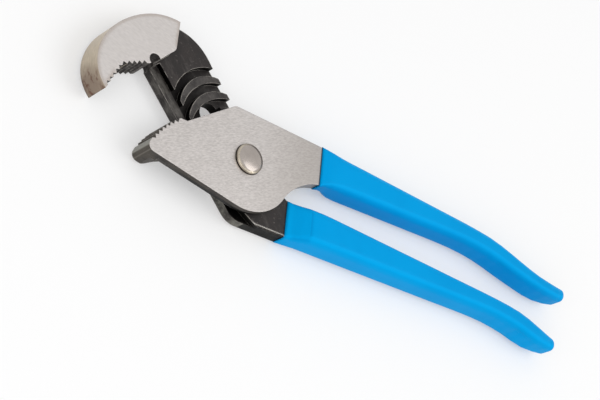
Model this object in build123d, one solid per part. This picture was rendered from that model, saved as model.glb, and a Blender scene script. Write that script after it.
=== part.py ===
"""Tongue and groove pliers with a parrot-nose jaw, 9.5 inch size, lying on their back.

Frame: millimetres, +Z up, out of the polished front faces. The origin is on the
pivot axis, on the plane that the pliers rest on. +X runs along the handles to
their ends and +Y points from the lower handle to the upper one. The arm that
carries the upper jaw leaves the pivot at arm_angle. The pivot sits in the lowest
of its groove positions, so the jaws are at their widest setting, handles closed.
"""
from build123d import *
from math import cos, radians, sin
import os

# ---- heights, all measured up from the resting plane -------------------------
back = 2.0              # back plane of both forgings
forging = 10.8          # full thickness of the jaws and tangs
arm_thickness = 6.35    # arm and root, under the plate
groove_depth = 2.4      # grooves and ledge, cut into the arm's face
face_gap = 0.08         # running gap between the plate and the arm
front = back + forging
arm_face = back + arm_thickness
floor = arm_face - groove_depth
plate_back = arm_face + face_gap

# ---- arm, slot, grooves and tongue -------------------------------------------
arm_angle = 135.0       # direction of the slot, seen from the front
arm_left = 15.1         # slot centre line to the arm's jaw-side edge
arm_right = 10.7        # slot centre line to the arm's other edge
arm_reach = 46.0        # pivot to where the jaw-side edge meets the jaw
neck_reach = 36.6       # pivot to where the neck's back meets the arm
arm_tail = 18.6         # pivot to where the arm's other edge meets the root
ledge_inner = 11.4      # slot centre line to the start of the ledge
ledge_tail = 11.0       # pivot to the foot of the ledge, towards the root
groove_pitch = 6.54     # distance between neighbouring pivot positions
groove_positions = 4    # positions of the pivot along the slot
slot_spare = 1.8        # length of slot beyond the last position
ridge_radius = 15.9     # outer radius of a ridge, about the pivot it serves
groove_width = 3.3      # radial width of one groove
groove_radius = ridge_radius + groove_width
tongue_gap = 0.18       # clearance on each side of the tongue in its groove
tongue_drop_gap = 0.2   # clearance between the tongue and the groove's floor
tongue_start = 118.0    # directions of the two ends of the tongue
tongue_end = 150.0

# ---- pivot -------------------------------------------------------------------
shank_diameter = 8.0
slot_gap = 0.3          # between shank and slot, all round
bore_gap = 0.05         # between shank and bores, all round
head_diameter = 11.6
head_edge = 1.15        # height of the head's rim above the plate
head_dome = 0.75        # extra height of the dome
collar_diameter = 13.6
collar_gap = 0.1        # running gap between collar and arm
collar_chamfer = 0.5
peen_diameter = 6.4     # spread end of the shank, flush with the collar's back

# ---- jaws --------------------------------------------------------------------
tooth_depth = 1.15
tooth_pitch = 2.25
upper_teeth = 10
upper_first = 2.2       # inner end of the tooth line to the first cut
lower_teeth = 7
lower_first = 1.9
notch_radius = 2.45     # relief at the inner end of the upper tooth line
jaw_corner = 3.0        # radius where the two flats of the upper jaw meet

# ---- plate and handles -------------------------------------------------------
plate_radius = 20.1     # rounded end of the plate, about the pivot
plate_top = 19.2        # straight top edge of the plate
plate_corner = 3.0
shoulder_radius = 0.8   # corner between the plate's slanted edge and its jaw
plate_draft = 0.6       # how far the lower edge leans in under the parting line
parting_drop = 2.1      # polished face down to the parting line
plate_end_start = -99.4     # directions of the rounded end's two ends
plate_end_stop = -24.0
draft_start = 37.0      # pivot to where the draft starts, towards the nose
close_angle = 2.5       # how far the handles still close from here
wall_gap = 0.3          # clearance left when they have closed
sweep_radius = 24.5     # cleared round the pivot for the heel of the arm
block_drop = 0.4        # the jaw block's underside starts this far below the nose's foot
heel_radius = 8.5
neck_radius = 4.0       # corner where the neck's back meets the arm
root_bevel = 0.6        # bevel along the lower edge of the root
grip_wall = 1.0         # thickness of the dipped vinyl
grip_lip = 0.45         # its thickness at the open end
grip_gap = 0.08         # between vinyl and steel
grip_end = 3.2          # its thickness over the tang's end
tip_round = 2.1         # soft edge of the grips' blunt ends
tang_bevel = 0.7        # bevel of the tang's corners, as a share of the grip's rounding there
handle_stops = [0, 0.02, 0.04, 0.06, 0.08, 0.105, 0.14, 0.5, 0.56, 0.61, 0.66, 0.71, 0.755, 0.8, 0.84, 0.88,
                0.92, 0.96, 1]      # sections of each handle, close together where it bends
grip_corner = 3.3       # rounded corners of the grips
upper_grip_start = 34.0
upper_tip = 173.5
lower_grip_start = 23.0
lower_tip = 168.0


def arm_point(along, left):
    """A point of the arm: distance along the slot, distance to the jaw side."""
    turn = radians(arm_angle)
    return (along * cos(turn) - left * sin(turn), along * sin(turn) + left * cos(turn))


def polar(radius, angle):
    return (radius * cos(radians(angle)), radius * sin(radians(angle)))


def outline(*lines):
    """A flat face inside lines that meet end to end."""
    edges = []
    for line in lines:
        edges += line.edges()
    return make_face(edges)


def upright(radius, height):
    """A round bar standing on its origin."""
    return Cylinder(radius, height, align=(Align.CENTER, Align.CENTER, Align.MIN))


def slab(sketch, low, high):
    """A flat sketch extruded between two heights."""
    return extrude(Pos(0, 0, low) * sketch, high - low)


def tooth_cuts(line, count, first, side):
    """V cuts square to a jaw line; side is 1 for the metal on the line's left."""
    cuts = Sketch()
    half = tooth_pitch / 2
    deep = side * tooth_depth
    for index in range(count):
        place = first + index * tooth_pitch
        spot = line.position_at(place, PositionMode.LENGTH)
        heading = line.tangent_at(place, PositionMode.LENGTH)
        corners = [(-half, -side), (half, -side), (half, 0), (0, deep), (-half, 0)]
        notch = make_face(Polyline(*corners, close=True))
        cuts += Plane(spot, x_dir=heading, z_dir=(0, 0, 1)) * notch
    return cuts


def along(knots, share):
    """Value of a smooth curve through (share, value) knots."""
    slopes = []
    for index in range(len(knots)):
        before = knots[max(index - 1, 0)]
        after = knots[min(index + 1, len(knots) - 1)]
        slopes.append((after[1] - before[1]) / (after[0] - before[0]))
    index = max(i for i in range(len(knots) - 1) if knots[i][0] <= share)
    step = knots[index + 1][0] - knots[index][0]
    rise = knots[index + 1][1] - knots[index][1]
    t = (share - knots[index][0]) / step
    bend = step * (t * (1 - t) ** 2 * slopes[index] - t ** 2 * (1 - t) * slopes[index + 1])
    return knots[index][1] + rise * t ** 2 * (3 - 2 * t) + bend


def handle_bar(handle, wall, lip, end_wall, make_section):
    """Bar through cross sections of a handle along X.

    Each section is the grip's outer shape less a wall, or less the lip at the
    open end. The bar stops the end wall short of the tip.
    """
    start, tip = handle["ends"]
    sections = []
    for share in handle_stops:
        low, high, under, over = (along(handle[side], share) for side in ("low", "high", "under", "over"))
        inset = wall if share else lip
        spot = (start + (tip - end_wall - start) * share, (low + high) / 2, back + (under + over) / 2)
        size = (high - low - 2 * inset, over - under - 2 * inset)
        corner = min(along(handle["corner"], share) - inset, 0.45 * min(size))
        sections.append(Plane(spot, x_dir=(0, 1, 0), z_dir=(1, 0, 0)) * make_section(*size, corner))
    return loft(sections, ruled=True)


def steel_section(width, height, corner):
    """Rectangle with bevelled corners, for a forged tang."""
    return chamfer(Rectangle(width, height).vertices(), tang_bevel * corner)


def handle_tang(handle, gap):
    """Steel inside a grip, grown by a gap when it is used as the grip's cavity."""
    return handle_bar(handle, grip_wall - gap, grip_lip - gap, grip_end - gap, steel_section)


# ---- upper jaw, arm and lower tang: one forging ------------------------------
upper_root = (-47.4, 19.4)      # inner end of the tooth line, at the notch
upper_bend = (-57.9, 14.2)      # where the two flats of the jaw meet
upper_nose = (-63.4, 2.0)       # sharp tip of the parrot nose
upper_inside = (-42.9, 23.4)    # where the jaw's inner side turns up beside the notch
upper_step = (-37.2, 29.8)      # corner of the step down to the neck
upper_back = (-37.2, 41.8)      # top corner of the polished face
crown_bends = [(-48.2, 40.0), (-58.7, 33.3), (-65.7, 24.7), (-68.7, 13.4)]     # back of the hook
neck_bow = (-27.0, 40.3)        # middle of the neck's hollow back
buried_corner = (-47.0, 27.0)   # corner of the arm inside the hook
notch_centre = (-45.4, 21.8)
root_top = (lower_grip_start, -6.75)
root_bottom = (lower_grip_start, -21.45)
heel = (0.6, -22.2)
pocket_bend = (5.2, -19.5)      # where the ledge's wall turns along the root
pocket_end = (12.0, -21.9)      # where it runs out
lower_handle = {                # shares of the length from lip to tip, and y or z above the back plane
    "ends": (lower_grip_start, lower_tip),
    "low": [(0, root_bottom[1] - grip_lip), (0.26, -20.5), (0.53, -18.8), (0.73, -17.7), (0.83, -18.8),
            (0.91, -21.1), (0.96, -21.4), (1, -20.9)],
    "high": [(0, root_top[1] + grip_lip), (0.05, -7.0), (0.26, -7.3), (0.53, -8.6), (0.76, -9.6),
             (0.85, -10.8), (0.92, -13.3), (1, -15.7)],
    "under": [(0, -grip_lip), (0.05, -grip_wall), (0.86, -grip_wall), (0.93, -0.6), (1, 1.1)],
    "over": [(0, arm_thickness + grip_lip), (0.025, 8.2), (0.055, forging - 0.1), (0.085, forging + 0.7),
             (0.12, forging + grip_wall), (0.86, forging + grip_wall), (0.93, forging + 0.6),
             (1, forging - 1.1)],
    "corner": [(0, 1.2), (0.07, grip_corner), (1, grip_corner)],
}


def upper_jaw_sketch():
    """Outline of the full-thickness hook, with its teeth cut."""
    crown = Spline(upper_back, *crown_bends, upper_nose)
    flats = FilletPolyline(upper_nose, upper_bend, upper_root, radius=jaw_corner)
    step = FilletPolyline(upper_root, upper_inside, upper_step, upper_back, radius=[0, jaw_corner])
    inward = FilletPolyline(upper_root, upper_bend, upper_nose, radius=jaw_corner)
    return outline(crown, flats, step) - tooth_cuts(inward, upper_teeth, upper_first, -1)


def arm_sketch():
    """Outline of the neck, the arm and the root of the lower handle."""
    neck_corner_point = arm_point(neck_reach, -arm_right)
    neck = ThreePointArc(upper_back, neck_bow, neck_corner_point)
    rest = FilletPolyline(
        neck_corner_point, arm_point(-arm_tail, -arm_right), root_top, root_bottom, heel,
        arm_point(arm_reach, arm_left), buried_corner, upper_back,
        radius=[neck_radius, 0, 0, heel_radius, 0, 0],
    )
    return outline(neck, rest)


def ridge_cuts():
    """Grooves concentric with each pivot position, as one flat sketch."""
    cuts = Sketch()
    for position in range(groove_positions):
        centre = Pos(position * groove_pitch, 0)
        groove = centre * (Circle(groove_radius) - Circle(ridge_radius))
        cuts += groove & (centre * Pos(groove_radius / 2, 0) * Rectangle(groove_radius, 2 * groove_radius))
    return Rot(0, 0, arm_angle) * cuts


def ledge_cut():
    """Open ledge along the jaw side of the arm, where the tongue goes to shift."""
    far = 2 * arm_left
    head = arm_point(arm_reach, ledge_inner)
    foot = arm_point(-ledge_tail, ledge_inner)
    wall = Line(head, foot)
    pocket = Spline(foot, pocket_bend, pocket_end, tangents=[arm_point(-1, 0), (1, 0)])
    outside = Polyline(
        pocket_end, (pocket_end[0], -far), arm_point(-ledge_tail, far), arm_point(arm_reach, far), head,
    )
    return outline(wall, pocket, outside)


def make_upper_jaw():
    jaw = slab(upper_jaw_sketch(), back, front)
    arm = slab(arm_sketch(), back, arm_face)
    body = jaw + arm
    recess = slab(ridge_cuts() + ledge_cut() - upper_jaw_sketch(), floor, front)
    body -= recess
    run = groove_pitch * (groove_positions - 1) + slot_spare
    slot = Rot(0, 0, arm_angle) * Pos(run / 2, 0) * SlotCenterToCenter(run, shank_diameter + 2 * slot_gap)
    body -= slab(slot + Pos(*notch_centre) * Circle(notch_radius), back - 1, front + 1)
    face_edges = body.edges().filter_by_position(Axis.Z, arm_face - face_gap, arm_face + face_gap)
    root_rim = face_edges.filter_by(lambda edge: edge.center().Y < root_bottom[1])
    return chamfer(root_rim, root_bevel) + handle_tang(lower_handle, 0)


# ---- lower jaw, plate and upper tang: one forging ----------------------------
lower_root = (-31.3, 3.8)       # inner end of the tooth line
lower_bow = (-37.9, -2.2)       # middle of the hollow tooth line
lower_nose = (-42.7, -10.4)     # outer end of the tooth line
nose_bow = (-42.5, -12.3)       # middle of the rounded nose
nose_foot = (-40.9, -13.6)      # left end of the plate's lower edge
block_bends = [(-38.6, -13.8), (-35.0, -11.8), (-30.0, -9.4), (-20.0, -7.5)]    # the jaw block's underside
plate_shoulder = (-28.4, 3.9)   # where the plate's slanted edge meets the jaw
plate_top_start = -8.2          # left end of the straight top edge
hollow_bends = [(22.6, -3.1), (27.0, 0.3)]      # hollow between the rounded end and the grip
hollow_end = 3.1                # height of the plate's lower edge at the grip
upper_handle = {
    "ends": (upper_grip_start, upper_tip),
    "low": [(0, hollow_end - grip_lip), (0.04, 4.4), (0.19, 5.9), (0.4, 7.5), (0.57, 8.5), (0.67, 7.6),
            (0.77, 5.0), (0.86, 3.0), (0.92, 2.3), (0.96, 2.6), (1, 3.6)],
    "high": [(0, plate_top + grip_lip), (0.19, 19.2), (0.47, 18.0), (0.6, 17.3), (0.69, 16.0), (0.8, 12.2),
             (0.88, 9.5), (0.94, 8.9), (1, 9.1)],
    "under": [(0, arm_thickness + face_gap - grip_lip), (0.03, 4.4), (0.06, 1.3), (0.085, -0.4),
              (0.12, -grip_wall), (0.86, -grip_wall), (0.93, -0.6), (1, 1.1)],
    "over": [(0, forging + grip_lip), (0.04, forging + 0.9), (0.12, forging + grip_wall),
             (0.86, forging + grip_wall), (0.93, forging + 0.6), (1, forging - 1.1)],
    "corner": [(0, 0.9), (0.1, grip_corner), (1, grip_corner)],
}


def lower_tooth_line():
    return ThreePointArc(lower_root, lower_bow, lower_nose)


def plate_sketch():
    """Outline of the polished plate with the lower jaw, teeth not yet cut."""
    end_start = polar(plate_radius, plate_end_start)
    end_stop = polar(plate_radius, plate_end_stop)
    nose = ThreePointArc(lower_nose, nose_bow, nose_foot)
    lower_edge = Line(nose_foot, end_start)
    end_middle = polar(plate_radius, (plate_end_start + plate_end_stop) / 2)
    rounded_end = ThreePointArc(end_start, end_middle, end_stop)
    hollow = Spline(end_stop, *hollow_bends, (upper_grip_start, hollow_end))
    top = FilletPolyline(
        (upper_grip_start, hollow_end), (upper_grip_start, plate_top), (plate_top_start, plate_top),
        plate_shoulder, lower_root, radius=[0, plate_corner, shoulder_radius],
    )
    return outline(lower_tooth_line(), nose, lower_edge, rounded_end, hollow, top)


def edge_draft():
    """Metal taken off below the parting line, along the plate's lower edge and rounded end."""
    drop = front - parting_drop - plate_back
    corners = [(0, 0), (plate_draft, 0), (plate_draft, -drop), (-plate_draft, -drop)]
    wedge = make_face(Polyline(*corners, close=True))
    corner = Vector(*polar(plate_radius, plate_end_start), front - parting_drop)
    along_edge = Vector(*nose_foot, corner.Z) - corner
    run = along_edge.length * (draft_start + corner.X) / (corner.X - nose_foot[0])
    outward = along_edge.cross(Vector(0, 0, 1)) * -1
    straight = extrude(Plane(corner, x_dir=outward, z_dir=along_edge) * wedge, run)
    radial = Vector(*polar(1, plate_end_start))
    upright_plane = Plane((0, 0, corner.Z), x_dir=radial, z_dir=radial.cross(Vector(0, 0, 1)))
    turned = upright_plane * Pos(plate_radius, 0) * wedge
    return straight + revolve(turned, Axis.Z, plate_end_stop - plate_end_start)


def jaw_block_sketch():
    """Full-thickness part of the lower jaw, clear of the arm and of its heel."""
    turn = arm_angle + close_angle
    wide = 4 * arm_reach
    beyond = Rectangle(wide, wide / 2, align=(Align.CENTER, Align.MIN))
    wall = Rot(0, 0, turn) * Pos(0, arm_left + wall_gap) * beyond
    far = -wide / 4
    tip = (nose_foot[0], nose_foot[1] - block_drop)
    under = outline(
        Spline(tip, *block_bends),
        Polyline(block_bends[-1], (plate_radius, 0), (plate_radius, far), (tip[0], far), tip),
    )
    return (plate_sketch() & wall) - Circle(sweep_radius) - under


def tongue_sketch():
    """Ring sector about the pivot that fits in a groove."""
    inner = ridge_radius + tongue_gap
    outer = groove_radius - tongue_gap
    middle_angle = (tongue_start + tongue_end) / 2
    return outline(
        ThreePointArc(polar(inner, tongue_start), polar(inner, middle_angle), polar(inner, tongue_end)),
        Line(polar(inner, tongue_end), polar(outer, tongue_end)),
        ThreePointArc(polar(outer, tongue_end), polar(outer, middle_angle), polar(outer, tongue_start)),
        Line(polar(outer, tongue_start), polar(inner, tongue_start)),
    )


def make_lower_jaw():
    teeth = tooth_cuts(lower_tooth_line(), lower_teeth, lower_first, 1)
    body = slab(plate_sketch() - teeth, plate_back, front) - edge_draft()
    body += slab(jaw_block_sketch() - teeth, back, plate_back)
    body += slab(tongue_sketch(), floor + tongue_drop_gap, plate_back)
    body += handle_tang(upper_handle, 0)
    return body - upright(shank_diameter / 2 + bore_gap, front + 1)


# ---- pivot and grips ---------------------------------------------------------
def make_bolt():
    """Domed head, shank through plate and slot, and a spread end."""
    radius = head_diameter / 2
    seat = back - collar_gap
    peen = upright(peen_diameter / 2, seat)
    shank = Pos(0, 0, seat) * upright(shank_diameter / 2, front - seat)
    dome_radius = (radius ** 2 + head_dome ** 2) / (2 * head_dome)
    dome = Pos(0, 0, front + head_edge + head_dome - dome_radius) * Sphere(dome_radius)
    head = Pos(0, 0, front) * upright(radius, head_edge + head_dome)
    return peen + shank + (head & dome)


def make_collar():
    """Round collar on the back, held by the shank's spread end."""
    collar = upright(collar_diameter / 2, back - collar_gap)
    collar = chamfer(collar.edges().group_by(Axis.Z)[0], collar_chamfer)
    return collar - upright(peen_diameter / 2 + bore_gap, back)


def make_grip(handle):
    """Dipped vinyl sleeve with a soft blunt end, closed over the steel tang."""
    skin = handle_bar(handle, 0, 0, 0, RectangleRounded)
    end = skin.faces().sort_by(Axis.X)[-1]
    return fillet(end.edges(), tip_round) - handle_tang(handle, grip_gap)


os.makedirs("parts", exist_ok=True)
pieces = {
    "upper_jaw_arm": make_upper_jaw(),
    "lower_jaw_plate": make_lower_jaw(),
    "pivot_bolt": make_bolt(),
    "pivot_collar": make_collar(),
    "upper_grip": make_grip(upper_handle),
    "lower_grip": make_grip(lower_handle),
}
for name, piece in pieces.items():
    piece.label = name
    export_step(piece, f"parts/{name}.step")
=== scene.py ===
import bpy
from math import radians
from mathutils import Matrix, Vector


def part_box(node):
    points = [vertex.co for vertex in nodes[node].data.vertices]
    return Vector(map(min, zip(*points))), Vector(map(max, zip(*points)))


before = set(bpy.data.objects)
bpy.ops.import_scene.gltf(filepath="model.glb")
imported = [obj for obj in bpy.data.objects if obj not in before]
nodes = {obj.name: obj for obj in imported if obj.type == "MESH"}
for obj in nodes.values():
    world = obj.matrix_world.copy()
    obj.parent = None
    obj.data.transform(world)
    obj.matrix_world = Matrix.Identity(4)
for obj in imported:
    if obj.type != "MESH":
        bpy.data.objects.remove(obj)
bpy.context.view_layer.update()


def rgb(red, green, blue):
    """Linear colour of an sRGB one written in 0 to 255."""
    out = []
    for value in (red, green, blue):
        share = value / 255
        out.append(share / 12.92 if share <= 0.04045 else ((share + 0.055) / 1.055) ** 2.4)
    return (*out, 1.0)


# ---- places on the part --------------------------------------------------------
# Metres in the frame: X runs along the pliers towards the grips' tips, Y across them
# and Z up. The bolt's axis is at X = Y = 0. A pair of values says where a feature
# fades in: it is absent at the first value and complete at the second.
mm = 0.001
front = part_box("lower_jaw_plate")[1].z       # polished faces
grip_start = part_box("upper_grip")[0].x       # lip of the upper grip
arm_face = 8.35 * mm                         # face of the arm, under the plate
back_skin = (2.4 * mm, 2.2 * mm)             # just above the forgings' flat backs
bolt_radius = 5.8 * mm
forging_edge = 0.35 * mm                     # softness of the forgings' edges
flat = (1.0, 1.0, 0.0)                       # times a vector, drops its height

# ---- colours that the two forgings share, and the studio's ----------------------
ground_shade = rgb(170, 165, 162)
ground_light = rgb(197, 192, 189)
ground_streak = rgb(152, 145, 139)
ground_cloud = rgb(192, 188, 186)
scale_shade = rgb(24, 20, 19)
scale_light = rgb(41, 35, 33)
scale_scuff = rgb(76, 71, 68)
scale_speck = rgb(104, 99, 95)
bare_edge = rgb(170, 164, 157)
# painted shade for the hollows
painted_shade_black = rgb(10, 9, 9)
floor_shade = (0.93, 0.93, 0.93, 1)
floor_light = (0.95, 0.95, 0.95, 1)
pure_white = (1, 1, 1, 1)


# ---- node helpers --------------------------------------------------------------
class Shader:
    """Builds one material's nodes; every call takes sockets or plain values."""

    def __init__(self, name):
        self.material = bpy.data.materials.new(name)
        self.material.use_nodes = True
        self.tree = self.material.node_tree
        self.bsdf = self.tree.nodes["Principled BSDF"]
        coords = self.tree.nodes.new("ShaderNodeTexCoord")
        self.position = coords.outputs["Object"]
        self.normal = coords.outputs["Normal"]

    def put(self, socket, value):
        if isinstance(value, bpy.types.NodeSocket):
            self.tree.links.new(value, socket)
        else:
            socket.default_value = value

    def math(self, operation, a, b=0.0):
        node = self.tree.nodes.new("ShaderNodeMath")
        node.operation = operation
        self.put(node.inputs[0], a)
        self.put(node.inputs[1], b)
        return node.outputs[0]

    def vector(self, operation, a, b=(0, 0, 0), scale=1.0):
        node = self.tree.nodes.new("ShaderNodeVectorMath")
        node.operation = operation
        self.put(node.inputs[0], a)
        self.put(node.inputs[1], b)
        if operation == "SCALE":
            self.put(node.inputs["Scale"], scale)
        return node.outputs["Value" if operation in ("DOT_PRODUCT", "LENGTH") else "Vector"]

    def part(self, vector):
        """X, Y and Z of a vector."""
        node = self.tree.nodes.new("ShaderNodeSeparateXYZ")
        self.put(node.inputs[0], vector)
        return node.outputs[0:3]

    def step(self, value, start, end):
        """0 before start and 1 past end, smooth between; start may be above end."""
        node = self.tree.nodes.new("ShaderNodeMapRange")
        node.interpolation_type = "SMOOTHSTEP"
        self.put(node.inputs["Value"], value)
        self.put(node.inputs["From Min"], start)
        self.put(node.inputs["From Max"], end)
        return node.outputs["Result"]

    def all_of(self, *masks):
        """Product of masks."""
        product = masks[0]
        for mask in masks[1:]:
            product = self.math("MULTIPLY", product, mask)
        return product

    def either(self, a, b):
        """Greater of two masks."""
        return self.math("MAXIMUM", a, b)

    def noise(self, scale, detail, rough, vector=None):
        node = self.tree.nodes.new("ShaderNodeTexNoise")
        self.put(node.inputs["Vector"], vector or self.position)
        self.put(node.inputs["Scale"], scale)
        self.put(node.inputs["Detail"], detail)
        self.put(node.inputs["Roughness"], rough)
        return node.outputs["Fac"]

    def stretched(self, angle, factors):
        """Object coordinates turned about Z by an angle, then scaled per axis."""
        node = self.tree.nodes.new("ShaderNodeVectorRotate")
        node.rotation_type = "Z_AXIS"
        self.put(node.inputs["Vector"], self.position)
        node.inputs["Angle"].default_value = angle
        return self.vector("MULTIPLY", node.outputs["Vector"], factors)

    def mix(self, factor, a, b):
        """Colour between a and b."""
        node = self.tree.nodes.new("ShaderNodeMix")
        node.data_type = "RGBA"
        self.put(node.inputs[0], factor)
        self.put(node.inputs[6], a)
        self.put(node.inputs[7], b)
        return node.outputs[2]

    def tint(self, base, mask, strength, colour):
        """The base colour taken towards another where the mask is, as far as strength."""
        return self.mix(self.math("MULTIPLY", mask, strength), base, colour)

    def blend(self, factor, a, b):
        """Number between a and b."""
        node = self.tree.nodes.new("ShaderNodeMix")
        self.put(node.inputs[0], factor)
        self.put(node.inputs[2], a)
        self.put(node.inputs[3], b)
        return node.outputs[0]

    def bump(self, height, strength, distance, normal):
        node = self.tree.nodes.new("ShaderNodeBump")
        self.put(node.inputs["Height"], height)
        node.inputs["Strength"].default_value = strength
        node.inputs["Distance"].default_value = distance
        self.put(node.inputs["Normal"], normal)
        return node.outputs["Normal"]

    def soft_edges(self, radius):
        """Normal that rounds the edges to a radius."""
        node = self.tree.nodes.new("ShaderNodeBevel")
        node.samples = 6
        self.put(node.inputs["Radius"], radius)
        return node.outputs["Normal"]

    def edge_mask(self, radius):
        """1 on sharp edges and 0 on open faces."""
        face = self.tree.nodes.new("ShaderNodeNewGeometry").outputs["Normal"]
        agreement = self.vector("DOT_PRODUCT", self.soft_edges(radius), face)
        return self.step(agreement, 0.995, 0.9)


# ---- steel of the two forgings -------------------------------------------------
class Forging(Shader):
    """Dark forging whose flat front and back are ground bright."""

    def __init__(self, name, grain_angle, grain_length):
        super().__init__(name)
        self.across, self.along, self.height = self.part(self.position)
        self.normal_y, self.up = self.part(self.normal)[1:3]
        self.upright = self.step(self.math("ABSOLUTE", self.up), 0.6, 0.4)
        # Distance from the bolt's axis.
        self.reach = self.vector("LENGTH", self.vector("MULTIPLY", self.position, flat))
        # Masks of the ground front, and of all that is ground.
        front_skin = (front - 0.5 * mm, front - 0.2 * mm)
        self.top = self.all_of(self.step(self.height, *front_skin), self.step(self.up, 0.75, 0.9))
        back = self.all_of(self.step(self.up, -0.75, -0.9), self.step(self.height, *back_skin))
        self.ground = self.either(self.top, back)
        # Colours of the ground steel and of the scale, and the ground steel's lines.
        self.bright, self.fine = self.ground_steel(grain_angle, grain_length)
        self.dark = self.forged_scale()

    def ground_steel(self, angle, length):
        """Surface-ground steel with lines at an angle about Z: colour, fine lines.

        The lines get longer as length, the scale along them, gets smaller.
        """
        lines = self.stretched(angle, (length, 1.0, 1.0))
        fine = self.noise(3800, 3, 0.55, lines)
        broad = self.noise(1900, 3, 0.6, lines)
        cloud = self.noise(55, 3, 0.6)
        tone = self.mix(self.step(fine, 0.3, 0.7), ground_shade, ground_light)
        tone = self.tint(tone, self.step(broad, 0.5, 0.75), 0.16, ground_streak)
        return self.tint(tone, self.step(cloud, 0.45, 0.75), 0.22, ground_cloud), fine

    def forged_scale(self):
        """Dark scale with scuffs, specks and rubbed edges."""
        cloud = self.noise(80, 4, 0.65)
        speck = self.noise(700, 4, 0.7)
        scuff = self.noise(330, 5, 0.7, self.stretched(0.9, (0.35, 1.0, 1.0)))
        tone = self.mix(self.step(cloud, 0.35, 0.7), scale_shade, scale_light)
        tone = self.tint(tone, self.step(scuff, 0.5, 0.72), 0.55, scale_scuff)
        tone = self.tint(tone, self.step(speck, 0.6, 0.72), 0.7, scale_speck)
        rubbed = self.step(self.noise(260, 4, 0.65), 0.38, 0.58)
        return self.tint(tone, self.all_of(self.edge_mask(0.45 * mm), rubbed), 0.9, bare_edge)

    def surface(self, painted_shade):
        """Colour, roughness and metallic; where the mask it takes is, painted shade makes the
        hollows black and fully metallic.
        """
        # Painted shade: the hollows are made black.
        dark = self.tint(self.dark, painted_shade, 0.92, painted_shade_black)
        colour = self.mix(self.ground, dark, self.bright)
        forged_rough = self.blend(self.noise(300, 3, 0.6), 0.42, 0.62)
        rough = self.blend(self.ground, forged_rough, self.blend(self.fine, 0.36, 0.48))
        metal = self.blend(self.either(self.ground, painted_shade), 0.2, 1.0)
        return colour, rough, metal

    def finished(self, colour, rough, metal, softness):
        """The material with this surface, and edges as soft as softness."""
        self.put(self.bsdf.inputs["Base Color"], colour)
        self.put(self.bsdf.inputs["Roughness"], rough)
        self.put(self.bsdf.inputs["Metallic"], metal)
        self.bsdf.inputs["Specular IOR Level"].default_value = 0.35
        pits = self.all_of(self.math("SUBTRACT", 1.0, self.ground), self.noise(420, 5, 0.7))
        forged = self.bump(pits, 0.6, 0.16 * mm, self.soft_edges(softness))
        lines = self.bump(self.all_of(self.fine, self.ground), 0.3, 0.015 * mm, forged)
        self.put(self.bsdf.inputs["Normal"], lines)
        return self.material


def make_plate_steel():
    """Steel of the plate with the lower jaw, and of the collar behind it."""
    s = Forging("plate_steel", grain_angle=radians(-21.6), grain_length=0.19)

    # The edge that turns in towards the grip is ground too.
    hollow_x = (18 * mm, 20 * mm)
    hollow_y = (9 * mm, 7 * mm)
    hollow = s.all_of(s.upright, s.step(s.across, *hollow_x), s.step(s.along, *hollow_y))
    s.ground = s.either(s.ground, hollow)

    # The lower edge is a warmer grey, most at the nose.
    outside = s.all_of(s.upright, s.step(s.normal_y, 0.2, -0.2))
    warmth = s.all_of(outside, s.step(s.noise(150, 4, 0.6), 0.25, 0.6))
    warm_share = s.blend(s.step(s.across, -36 * mm, -20 * mm), 0.5, 0.3)
    s.dark = s.tint(s.dark, warmth, warm_share, rgb(94, 88, 79))

    # A painted highlight on the nose stands in for a flat strip that takes the light, and a faint
    # painted highlight marks a crease below it.
    strip_x = (-41 * mm, -42 * mm)
    strip_y = (-11.9 * mm, -11.2 * mm)
    strip_highlight = s.all_of(s.upright, s.step(s.across, *strip_x), s.step(s.along, *strip_y))
    s.dark = s.tint(s.dark, strip_highlight, 0.75, rgb(150, 149, 141))
    crease_x = (-38 * mm, -39 * mm)
    crease_y = -13.1 * mm
    crease_half_width = (0.22 * mm, 0.06 * mm)
    off_crease = s.math("ABSOLUTE", s.math("SUBTRACT", s.along, crease_y))
    crease_highlight = s.all_of(s.step(off_crease, *crease_half_width), s.upright, s.step(s.across, *crease_x))
    s.dark = s.tint(s.dark, crease_highlight, 0.3, rgb(134, 129, 121))

    # Below the forging's parting line the lower edge is painted black, as painted deep shade.
    below_parting = (front - 1.9 * mm, front - 2.3 * mm)
    shade_x = (-38 * mm, -22 * mm)
    painted_shade = s.all_of(outside, s.step(s.height, *below_parting), s.step(s.across, *shade_x))

    # A painted contact shadow, with grime, lies round the bolt's head and along the grip's lip.
    seat_edge = (bolt_radius + 0.4 * mm, bolt_radius + 0.15 * mm)
    lip_edge = (grip_start - 0.55 * mm, grip_start - 0.3 * mm)
    seat = s.all_of(s.step(s.reach, *seat_edge), s.top)
    lip = s.all_of(s.step(s.across, *lip_edge), s.top)
    s.bright = s.tint(s.bright, s.either(seat, lip), 0.85, rgb(40, 34, 30))

    # The hollow edge is darker, and painted shade darkens the front towards the grip.
    s.bright = s.tint(s.bright, hollow, 0.8, rgb(128, 122, 116))
    front_shade_x = (-2 * mm, grip_start)
    s.bright = s.tint(s.bright, s.all_of(s.top, s.step(s.across, *front_shade_x)), 0.5, rgb(144, 138, 132))
    return s.finished(*s.surface(painted_shade), forging_edge)


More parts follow.
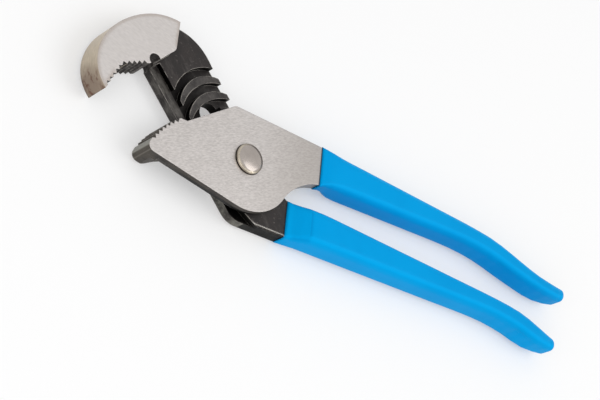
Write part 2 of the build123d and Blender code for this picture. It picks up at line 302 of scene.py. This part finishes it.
def with_crown(s, colour, rough, metal):
    """The surface with the hook's outer side: warm, belt-ground steel, dark at the tip."""
    hook_centre = (-46.0 * mm, 17.0 * mm, 0.0)
    hook_x = (-37.0 * mm, -37.5 * mm)        # right end of the full-thickness hook
    nose_tip = (-64.5 * mm, 3.0 * mm, 6.0 * mm)

    # Painted shade darkens the front face a little at its outer rim, where its edge rolls off.
    from_centre = s.vector("MULTIPLY", s.vector("SUBTRACT", s.position, hook_centre), flat)
    outer = s.step(s.vector("LENGTH", from_centre), 15 * mm, 18 * mm)
    rim = s.all_of(s.edge_mask(3.0 * mm), outer, s.top)
    colour = s.tint(colour, rim, 0.7, rgb(160, 148, 139))

    # The crown is the upright side that faces away from the hook's centre.
    facing = s.vector("DOT_PRODUCT", s.vector("NORMALIZE", from_centre), s.normal)
    crown = s.all_of(s.step(facing, 0.55, 0.7), s.step(s.across, *hook_x), s.upright)
    belt = s.noise(2200, 3, 0.6, s.stretched(0.0, (0.16, 0.16, 1.0)))
    warm = s.tint(rgb(201, 188, 168), s.step(belt, 0.3, 0.7), 0.34, rgb(120, 110, 96))
    from_tip = s.vector("LENGTH", s.vector("SUBTRACT", s.position, nose_tip))
    warm = s.tint(warm, s.step(from_tip, 13 * mm, 3 * mm), 0.9, rgb(134, 118, 105))

    # Rust spots near the tip.
    spots = s.noise(420, 4, 0.7, s.stretched(0.0, (1.0, 0.5, 1.0)))
    rust = s.all_of(s.step(from_tip, 11 * mm, 4 * mm), s.step(spots, 0.48, 0.64))
    warm = s.tint(warm, rust, 0.8, rgb(98, 66, 52))
    return s.mix(crown, colour, warm), s.blend(crown, rough, 0.38), s.blend(crown, metal, 1.0)


def make_hook_steel():
    """Steel of the arm with the hooked upper jaw, its grooves, ridges and root."""
    s = Forging("hook_steel", grain_angle=radians(11), grain_length=0.16)
    s.bright = s.mix(0.4, s.bright, rgb(206, 201, 198))
    towards_jaws = (-0.7071, -0.7071, 0.0)   # across the arm, square to its slot
    side = s.vector("DOT_PRODUCT", s.position, towards_jaws)
    ledge_wall = 11.4 * mm                   # slot's centre line to the wall beside the ledge
    level = s.step(s.up, 0.3, 0.8)

    # The neck is rubbed paler, from the slot to near the hook.
    rub_reach = (37 * mm, 34 * mm)
    rub_y = (0.0, 5 * mm)
    rubs = s.step(s.noise(200, 4, 0.6), 0.3, 0.65)
    rubbed = s.all_of(s.step(s.reach, *rub_reach), s.step(s.along, *rub_y), rubs)
    s.dark = s.tint(s.dark, rubbed, 0.4, rgb(100, 96, 93))

    # Painted shade blackens the hollows: the grooves' floors and walls, and the pocket beside the
    # root.
    ledge_side = (ledge_wall + 0.3 * mm, ledge_wall)
    open_side = (-10.6 * mm, -10.2 * mm)
    inside = s.all_of(s.step(side, *ledge_side), s.step(side, *open_side))
    sunk = s.step(s.height, arm_face - 0.15 * mm, arm_face - 0.9 * mm)
    groove_share = s.blend(s.step(side, -6 * mm, 5 * mm), 0.4, 1.0)
    groove_shade = s.all_of(inside, sunk, level, groove_share, 0.85)
    below_face = s.step(s.height, arm_face, arm_face - 0.3 * mm)
    wall_shade = s.all_of(inside, below_face, s.step(s.up, 0.8, 0.5))
    pocket_y = (-9 * mm, -13 * mm)
    pocket_reach = (24 * mm, 21.5 * mm)
    pocket_shade = s.all_of(sunk, level, s.step(s.along, *pocket_y), s.step(s.reach, *pocket_reach))
    painted_shade = s.either(groove_shade, s.either(wall_shade, pocket_shade))

    # The ridges' edges are chipped bare towards the jaws.
    ridge_side = s.all_of(s.step(side, 0.0, 5 * mm), s.step(side, 11 * mm, 10 * mm))
    ridge_top = s.step(s.height, arm_face - 0.5 * mm, arm_face - 0.3 * mm)
    chips = s.step(s.noise(420, 3, 0.6), 0.35, 0.55)
    chipped = s.all_of(s.edge_mask(0.7 * mm), ridge_side, ridge_top, chips)
    s.dark = s.tint(s.dark, chipped, 0.8, rgb(176, 169, 160))

    # The ledge is chafed in lines along the arm.
    ledge_y = (-2 * mm, 4 * mm)
    ledge = s.all_of(s.step(side, ledge_wall, ledge_wall + mm), s.step(s.along, *ledge_y))
    chafing = s.noise(380, 5, 0.75, s.stretched(radians(-135), (0.3, 1.0, 1.0)))
    chafed = s.all_of(ledge, s.step(chafing, 0.42, 0.66))
    s.dark = s.tint(s.dark, chafed, 0.5, rgb(118, 115, 109))

    # A bright line runs along the root's edge, worn bare and brightened further as a painted
    # highlight.
    rim_x = (7 * mm, 9 * mm)
    rim_y = (-17 * mm, -19 * mm)
    rim_height = (arm_face - 0.4 * mm, arm_face - 0.2 * mm)
    rim = s.all_of(s.edge_mask(0.9 * mm), s.step(s.along, *rim_y), s.step(s.across, *rim_x))
    s.dark = s.mix(s.all_of(rim, s.step(s.height, *rim_height)), s.dark, rgb(226, 221, 214))

    # The root's outer wall is painted paler in patches, as painted light.
    wall_y = (-8 * mm, -12 * mm)
    lit_outer_wall = s.all_of(s.upright, s.step(s.normal_y, 0.2, -0.2), s.step(s.along, *wall_y))
    patches = s.step(s.noise(260, 4, 0.65), 0.3, 0.7)
    s.dark = s.mix(s.all_of(lit_outer_wall, patches), s.dark, rgb(112, 110, 102))

    # The outer edge beyond the ledge is rounder than the other edges.
    shoulder_side = (13.5 * mm, 14.5 * mm)
    shoulder_height = (7 * mm, 6.5 * mm)
    shoulder = s.all_of(s.step(side, *shoulder_side), s.step(s.height, *shoulder_height))
    softness = s.blend(shoulder, forging_edge, 1.6 * mm)
    return s.finished(*with_crown(s, *s.surface(painted_shade)), softness)


# ---- bolt and sleeves ----------------------------------------------------------
def make_bolt_steel():
    """Bright turned head with faint rings, a stained brim with painted light and shade, and a
    painted contact shadow with grime round its foot.
    """
    s = Shader("polished_bolt")
    from_axis = s.vector("MULTIPLY", s.position, flat)
    radius = s.vector("LENGTH", from_axis)
    rings = s.noise(4000, 2, 0.5, s.vector("SCALE", (1.0, 0.0, 0.0), scale=radius))
    smear = s.noise(140, 3, 0.6)
    tone = s.mix(smear, rgb(146, 138, 132), rgb(178, 170, 164))

    # The brim is painted lighter on one side and darker on the other, as painted light and shade,
    # with stains.
    lit_side = (-0.8, -0.6, 0.0)
    facing = s.vector("DOT_PRODUCT", s.vector("NORMALIZE", from_axis), lit_side)
    brim = s.mix(s.step(facing, -0.5, 0.4), rgb(136, 128, 120), rgb(181, 172, 157))
    stains = s.step(s.noise(500, 4, 0.6), 0.5, 0.7)
    brim = s.tint(brim, stains, 0.6, rgb(128, 112, 92))
    tone = s.mix(s.step(radius, 4.9 * mm, 5.2 * mm), tone, brim)

    # A painted contact shadow, with grime, lies round its foot.
    foot_height = (front + 0.45 * mm, front + 0.25 * mm)
    foot = s.step(s.part(s.position)[2], *foot_height)
    tone = s.tint(tone, foot, 0.95, rgb(20, 17, 15))
    s.put(s.bsdf.inputs["Base Color"], tone)
    s.put(s.bsdf.inputs["Roughness"], s.blend(smear, 0.2, 0.27))
    s.bsdf.inputs["Metallic"].default_value = 1.0

    # Its edge rolls over beyond the dome.
    dome = s.step(radius, 6.0 * mm, 4.3 * mm)
    rolled = s.bump(dome, 1.0, 0.42 * mm, s.soft_edges(0.45 * mm))
    s.put(s.bsdf.inputs["Normal"], s.bump(rings, 0.12, 0.01 * mm, rolled))
    return s.material


def make_vinyl(name, grip, ramp_shade_share):
    """Satin blue skin of a grip, a little uneven from dipping.

    Just past the lip its front is painted darker, as painted shade on the rising slope, as strongly
    as the third argument says.
    """
    s = Shader(name)
    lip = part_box(grip)[0].x
    across = s.part(s.position)[0]
    up = s.part(s.normal)[2]
    cloud = s.noise(38, 3, 0.55)
    tone = s.mix(s.step(cloud, 0.3, 0.7), rgb(0, 151, 218), rgb(0, 157, 224))
    # Painted shade on the slope just past the lip.
    ramp_shade_start = s.step(across, lip + 1 * mm, lip + 4 * mm)
    ramp_shade_end = s.step(across, lip + 10.5 * mm, lip + 8.5 * mm)
    ramp_shade = s.all_of(ramp_shade_start, ramp_shade_end, s.step(up, 0.0, 0.95), ramp_shade_share)
    tone = s.mix(ramp_shade, tone, rgb(0, 134, 200))

    # A painted highlight, slightly lighter, runs along the front's rounded corners.
    crest_highlight = s.all_of(s.step(up, 0.6, 0.85), s.step(up, 0.995, 0.92))
    tone = s.tint(tone, crest_highlight, 0.35, rgb(0, 177, 245))
    s.put(s.bsdf.inputs["Base Color"], tone)
    s.put(s.bsdf.inputs["Roughness"], s.blend(s.noise(420, 3, 0.6), 0.36, 0.46))
    s.bsdf.inputs["Specular IOR Level"].default_value = 0.025

    # The edges are softer where the skin swells to its full size.
    swell_start = s.step(across, lip + 2 * mm, lip + 3 * mm)
    swell_end = s.step(across, lip + 24 * mm, lip + 23 * mm)
    softness = s.blend(s.all_of(swell_start, swell_end), 1.7 * mm, 2.8 * mm)
    wave = s.bump(cloud, 0.2, 0.4 * mm, s.soft_edges(softness))
    fine = s.noise(1600, 3, 0.6)
    s.put(s.bsdf.inputs["Normal"], s.bump(fine, 0.12, 0.02 * mm, wave))
    return s.material


def dress(node, material):
    mesh = nodes[node].data
    mesh.materials.clear()
    mesh.materials.append(material)


plate_steel = make_plate_steel()
dress("upper_jaw_arm", make_hook_steel())
dress("lower_jaw_plate", plate_steel)
dress("pivot_bolt", make_bolt_steel())
dress("pivot_collar", plate_steel)
dress("upper_grip", make_vinyl("upper_vinyl", "upper_grip", ramp_shade_share=0.0))
dress("lower_grip", make_vinyl("lower_vinyl", "lower_grip", ramp_shade_share=0.6))

# ---- floor and world -----------------------------------------------------------
floor_size = 6
floor_veil = 0.35                            # share of plain white over the floor's own colour
world_light = 0.66                           # strength that lights the object
world_white = 1.0                            # strength that the background rays see
background_rays = ("Is Camera Ray", "Is Transmission Ray", "Is Glossy Ray")


def sees_background(tree):
    """1 for the rays that see the white background, 0 for those that light the object."""
    rays = tree.nodes.new("ShaderNodeLightPath").outputs
    seen = rays[background_rays[0]]
    for ray in background_rays[1:]:
        either = tree.nodes.new("ShaderNodeMath")
        either.operation = "MAXIMUM"
        tree.links.new(seen, either.inputs[0])
        tree.links.new(rays[ray], either.inputs[1])
        seen = either.outputs[0]
    return seen


bpy.ops.mesh.primitive_plane_add(size=floor_size, location=(0, 0, 0))
floor = bpy.context.object
floor.name = "studio_floor"
pale = Shader("pale_floor")
pale.put(pale.bsdf.inputs["Base Color"], pale.mix(pale.noise(3, 2, 0.5), floor_shade, floor_light))
pale.bsdf.inputs["Roughness"].default_value = 0.9
white = pale.tree.nodes.new("ShaderNodeEmission")
veil = pale.tree.nodes.new("ShaderNodeMixShader")
pale.put(veil.inputs[0], pale.math("MULTIPLY", sees_background(pale.tree), floor_veil))
pale.put(veil.inputs[1], pale.bsdf.outputs[0])
pale.put(veil.inputs[2], white.outputs[0])
pale.put(pale.tree.nodes["Material Output"].inputs["Surface"], veil.outputs[0])
floor.data.materials.append(pale.material)

world = bpy.data.worlds.new("studio")
bpy.context.scene.world = world
world.use_nodes = True
sky = world.node_tree
background = sky.nodes["Background"]
strength = sky.nodes.new("ShaderNodeMapRange")
strength.inputs["To Min"].default_value = world_light
strength.inputs["To Max"].default_value = world_white
sky.links.new(sees_background(sky), strength.inputs["Value"])
sky.links.new(strength.outputs["Result"], background.inputs["Strength"])
background.inputs["Color"].default_value = pure_white


# ---- lamps and camera ----------------------------------------------------------
def area_light(name, place, size, energy):
    """Square lamp that points at the foot of the bolt's axis."""
    data = bpy.data.lights.new(name, "AREA")
    data.shape = "SQUARE"
    data.size = size
    data.energy = energy
    lamp = bpy.data.objects.new(name, data)
    bpy.context.scene.collection.objects.link(lamp)
    lamp.location = place
    lamp.rotation_euler = (-Vector(place)).to_track_quat("-Z", "Y").to_euler()


area_light("key", place=(0.85, -0.1, 1.15), size=1.0, energy=6.0)
area_light("fill", place=(-0.8, -0.65, 0.75), size=1.1, energy=5.5)

# The camera's place and axes come from the perspective fit to the proportions.
camera_place = Vector((-0.299115, -0.277288, 0.433372))
camera_right = Vector((0.76193, 0.0842, 0.64216))
camera_above = Vector((-0.3509, 0.88704, 0.30005))
camera_behind = Vector((-0.54436, -0.45395, 0.70541))
camera_data = bpy.data.cameras.new("photo_camera")
camera_data.lens = 96.0
camera_data.sensor_width = 36.0
camera_data.clip_start = 0.01
camera = bpy.data.objects.new("photo_camera", camera_data)
bpy.context.scene.collection.objects.link(camera)
turn = Matrix((camera_right, camera_above, camera_behind)).transposed()
camera.matrix_world = Matrix.Translation(camera_place) @ turn.to_4x4()
bpy.context.scene.camera = camera

bpy.context.scene.view_settings.view_transform = "Standard"
